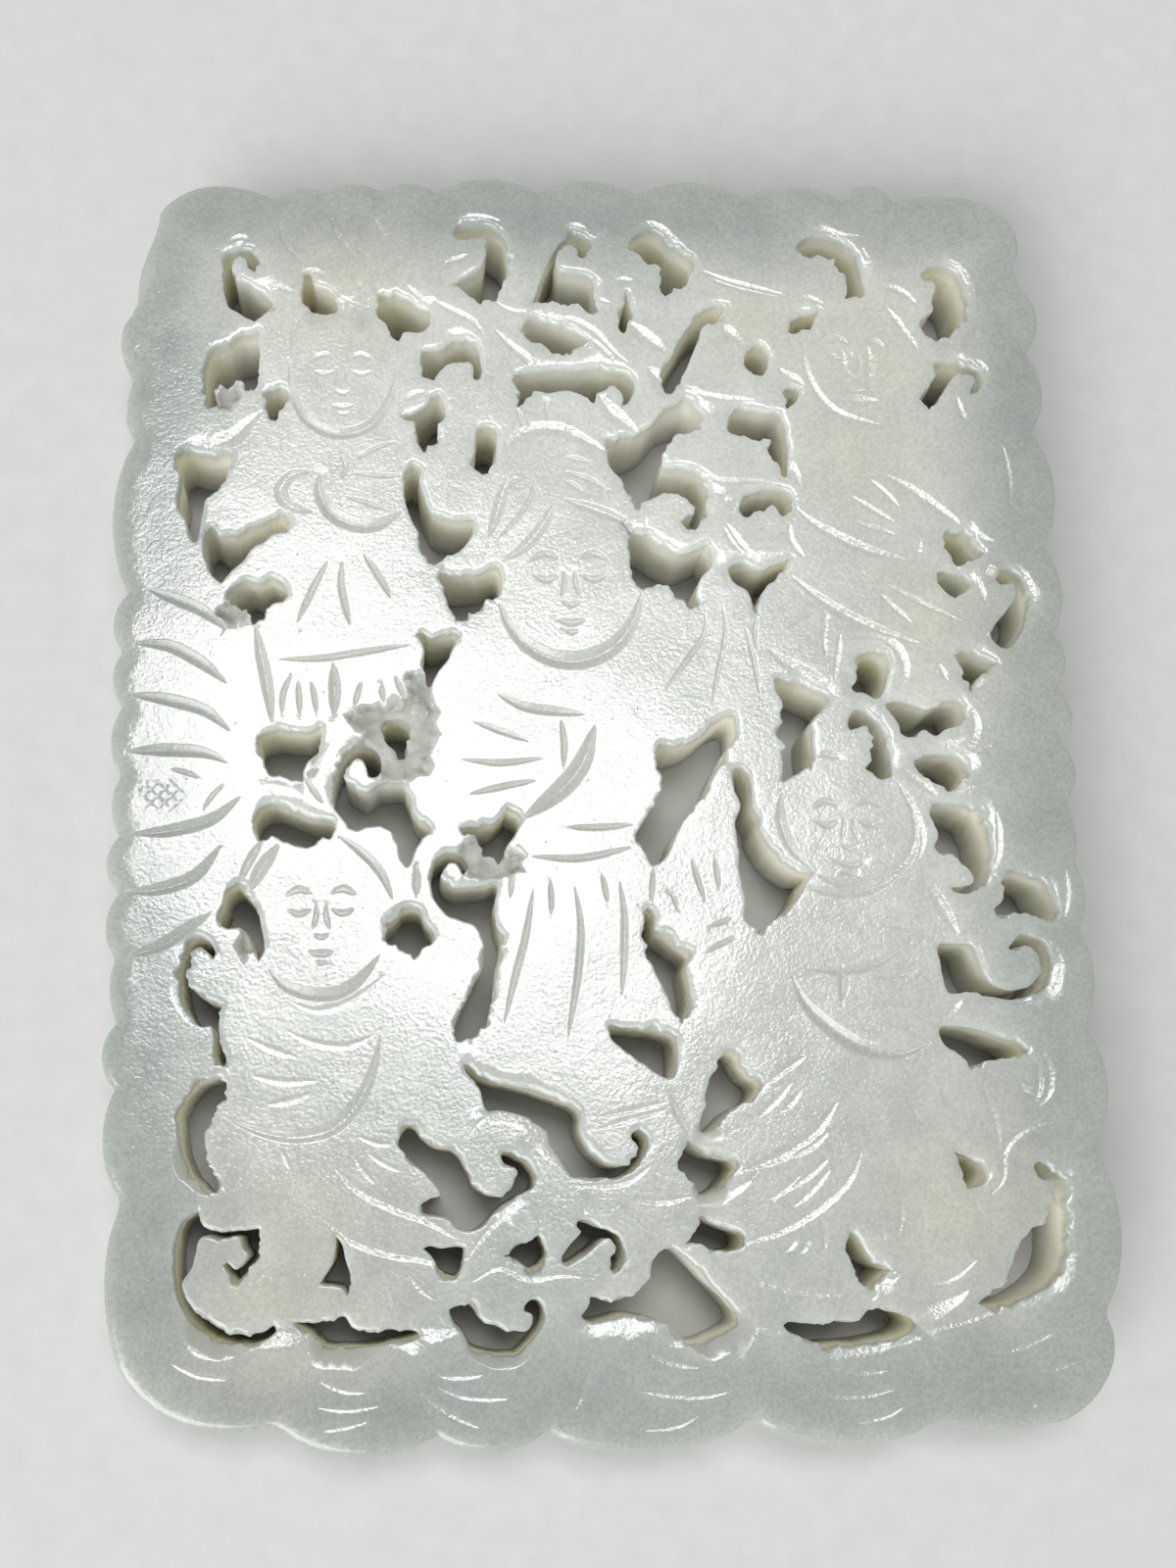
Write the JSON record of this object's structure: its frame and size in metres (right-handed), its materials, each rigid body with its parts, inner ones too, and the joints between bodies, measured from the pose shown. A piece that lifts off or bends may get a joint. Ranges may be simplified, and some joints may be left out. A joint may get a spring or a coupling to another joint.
{
  "type": "openwork plaque",
  "caption": "Openwork carved jade plaque of boys at play among scrolls inside a scalloped border; an ornament that lies flat on its plain back.",
  "frame": {"origin": "centre of the plaque's footprint, on the plane of its flat back", "axes": "+Z out of the carved side, +Y towards the tops of the figures' heads, +X to the right of the carved side"},
  "size_m": [0.0542, 0.0718, 0.0065],
  "materials": {
    "jade": "polished"
  },
  "bodies": {
    "root": {"jade_plaque": "jade"}
  },
  "joints": []
}
